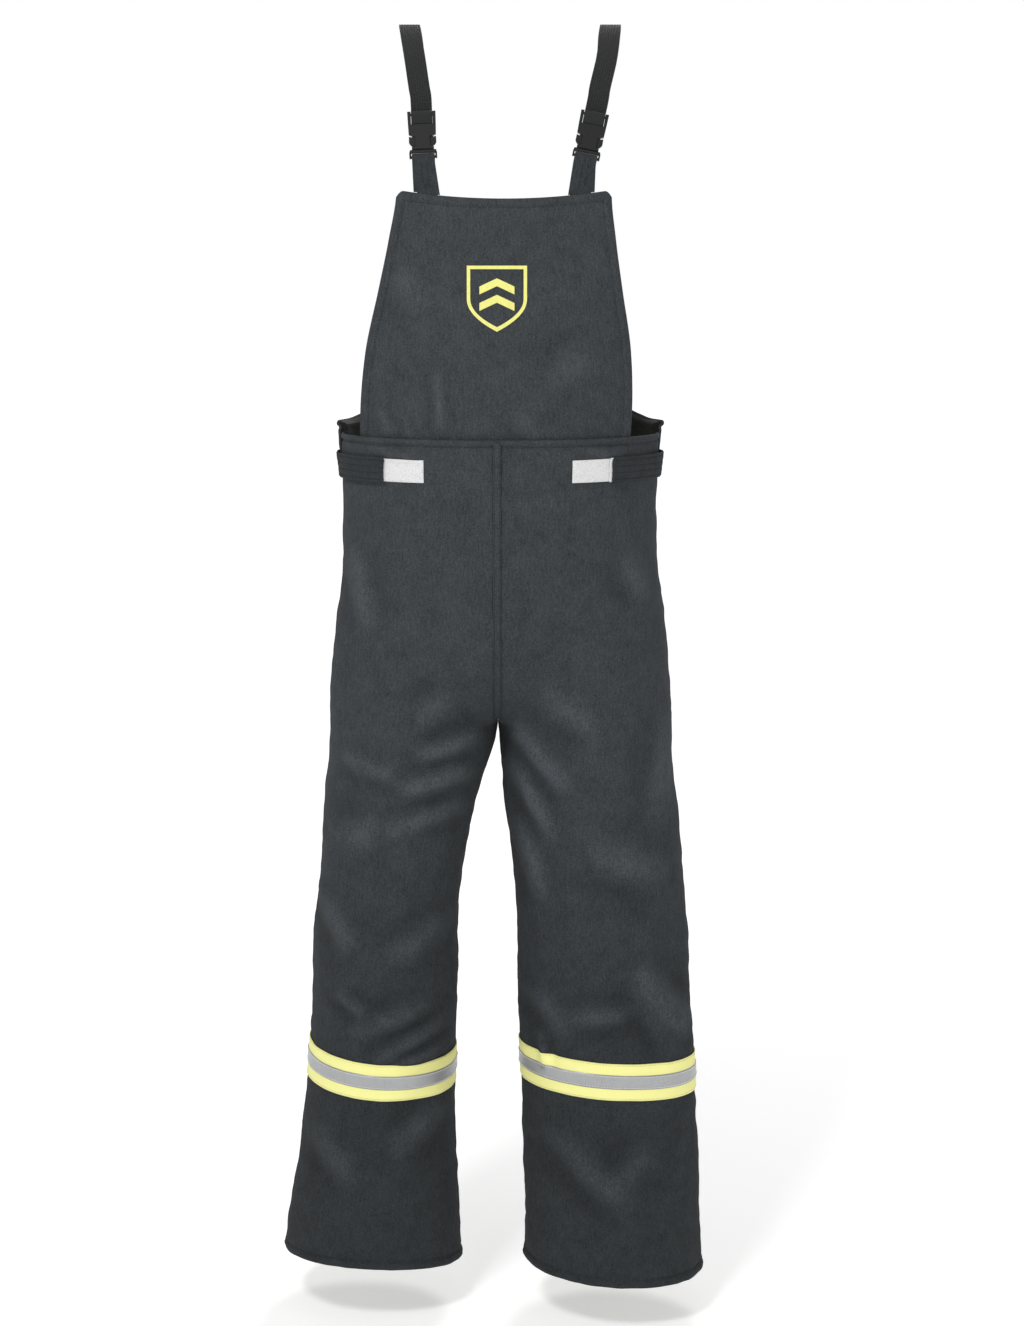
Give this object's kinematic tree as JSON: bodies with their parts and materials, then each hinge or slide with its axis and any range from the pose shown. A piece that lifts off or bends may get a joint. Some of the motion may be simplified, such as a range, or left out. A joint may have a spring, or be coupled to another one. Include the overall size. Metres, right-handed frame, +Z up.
{
  "type": "insulated bib overall",
  "caption": "Insulated protective bib overall on two webbing suspenders with side-release buckles, reflective leg trim, side vents and take-up tabs.",
  "frame": {"origin": "midway between the undersides of the two suspender crests, where shoulders carry the garment", "axes": "+Z up, the front faces -Y, +X to the wearer's left"},
  "size_m": [0.569, 0.303, 1.6423],
  "materials": {
    "shell_cloth": "charcoal blue-grey brushed flame-resistant cloth, matt",
    "lining_felt": "yellow-green needled felt",
    "facing_tape": "black woven tape",
    "elastic": "black ribbed elastic webbing",
    "plastic": "moulded black acetal, satin",
    "lime_tape": "fluorescent lime woven trim",
    "silver_tape": "retroreflective silver tape",
    "loop_white": "white hook-and-loop tape",
    "print": "pale yellow screen print"
  },
  "bodies": {
    "garment": {"right_front_panel": "shell_cloth", "right_back_panel": "shell_cloth", "right_front_lining": "lining_felt", "right_back_lining": "lining_felt", "right_waist_facing": "facing_tape", "right_hem_facing": "facing_tape", "right_trim_base": "lime_tape", "right_trim_reflective": "silver_tape", "right_loop_patch": "loop_white", "right_takeup_anchor": "shell_cloth", "right_buckle_male": "plastic", "right_strap_tab": "shell_cloth", "right_suspender": "elastic", "right_strap_anchor": "shell_cloth", "left_front_panel": "shell_cloth", "left_back_panel": "shell_cloth", "left_front_lining": "lining_felt", "left_back_lining": "lining_felt", "left_waist_facing": "facing_tape", "left_hem_facing": "facing_tape", "left_trim_base": "lime_tape", "left_trim_reflective": "silver_tape", "left_loop_patch": "loop_white", "left_takeup_anchor": "shell_cloth", "left_buckle_male": "plastic", "left_strap_tab": "shell_cloth", "left_suspender": "elastic", "left_strap_anchor": "shell_cloth", "front_rise_seam": "shell_cloth", "back_rise_seam": "shell_cloth", "bib_panel": "shell_cloth", "bib_lining": "lining_felt", "bib_emblem": "print", "cross_patch": "facing_tape"},
    "right_housing_half": {"right_buckle_housing": "plastic", "right_strap_wrap": "elastic"},
    "right_inner_prong": {"right_prong_inner": "plastic"},
    "right_outer_prong": {"right_prong_outer": "plastic"},
    "right_takeup": {"right_takeup_tab": "shell_cloth", "right_hook_pad": "loop_white"},
    "left_housing_half": {"left_buckle_housing": "plastic", "left_strap_wrap": "elastic"},
    "left_inner_prong": {"left_prong_inner": "plastic"},
    "left_outer_prong": {"left_prong_outer": "plastic"},
    "left_takeup": {"left_takeup_tab": "shell_cloth", "left_hook_pad": "loop_white"}
  },
  "joints": [
    {"name": "right_buckle_release", "type": "slide", "parent": "garment", "child": "right_housing_half", "axis": [-0.0456, 0.1642, 0.9854], "range_m": [0, 0.032], "deforming": ["right_prong_inner", "right_prong_outer"]},
    {"name": "right_inner_prong_squeeze", "type": "hinge", "parent": "garment", "child": "right_inner_prong", "pos_m": [-0.08354, -0.09638, -0.15429], "axis": [0, -0.9864, 0.1644], "range_deg": [0, 6], "stiffness_Nm_per_rad": 0.01},
    {"name": "right_outer_prong_squeeze", "type": "hinge", "parent": "garment", "child": "right_outer_prong", "pos_m": [-0.10332, -0.09653, -0.15518], "axis": [0, 0.9864, -0.1644], "range_deg": [0, 6], "stiffness_Nm_per_rad": 0.01},
    {"name": "right_takeup_peel", "type": "hinge", "parent": "garment", "child": "right_takeup", "pos_m": [-0.20566, 0.02856, -0.547], "axis": [0.0757, 0.0022, -0.9971], "range_deg": [0, 120]},
    {"name": "left_buckle_release", "type": "slide", "parent": "garment", "child": "left_housing_half", "axis": [0.2056, 0.1609, 0.9653], "range_m": [0, 0.032], "deforming": ["left_prong_inner", "left_prong_outer"]},
    {"name": "left_inner_prong_squeeze", "type": "hinge", "parent": "garment", "child": "left_inner_prong", "pos_m": [0.09824, -0.09515, -0.15292], "axis": [0, 0.9864, -0.1644], "range_deg": [0, 6], "stiffness_Nm_per_rad": 0.01},
    {"name": "left_outer_prong_squeeze", "type": "hinge", "parent": "garment", "child": "left_outer_prong", "pos_m": [0.11762, -0.09582, -0.15693], "axis": [0, -0.9864, 0.1644], "range_deg": [0, 6], "stiffness_Nm_per_rad": 0.01},
    {"name": "left_takeup_peel", "type": "hinge", "parent": "garment", "child": "left_takeup", "pos_m": [0.20494, 0.02856, -0.547], "axis": [0.0757, -0.0022, 0.9971], "range_deg": [0, 120]}
  ]
}
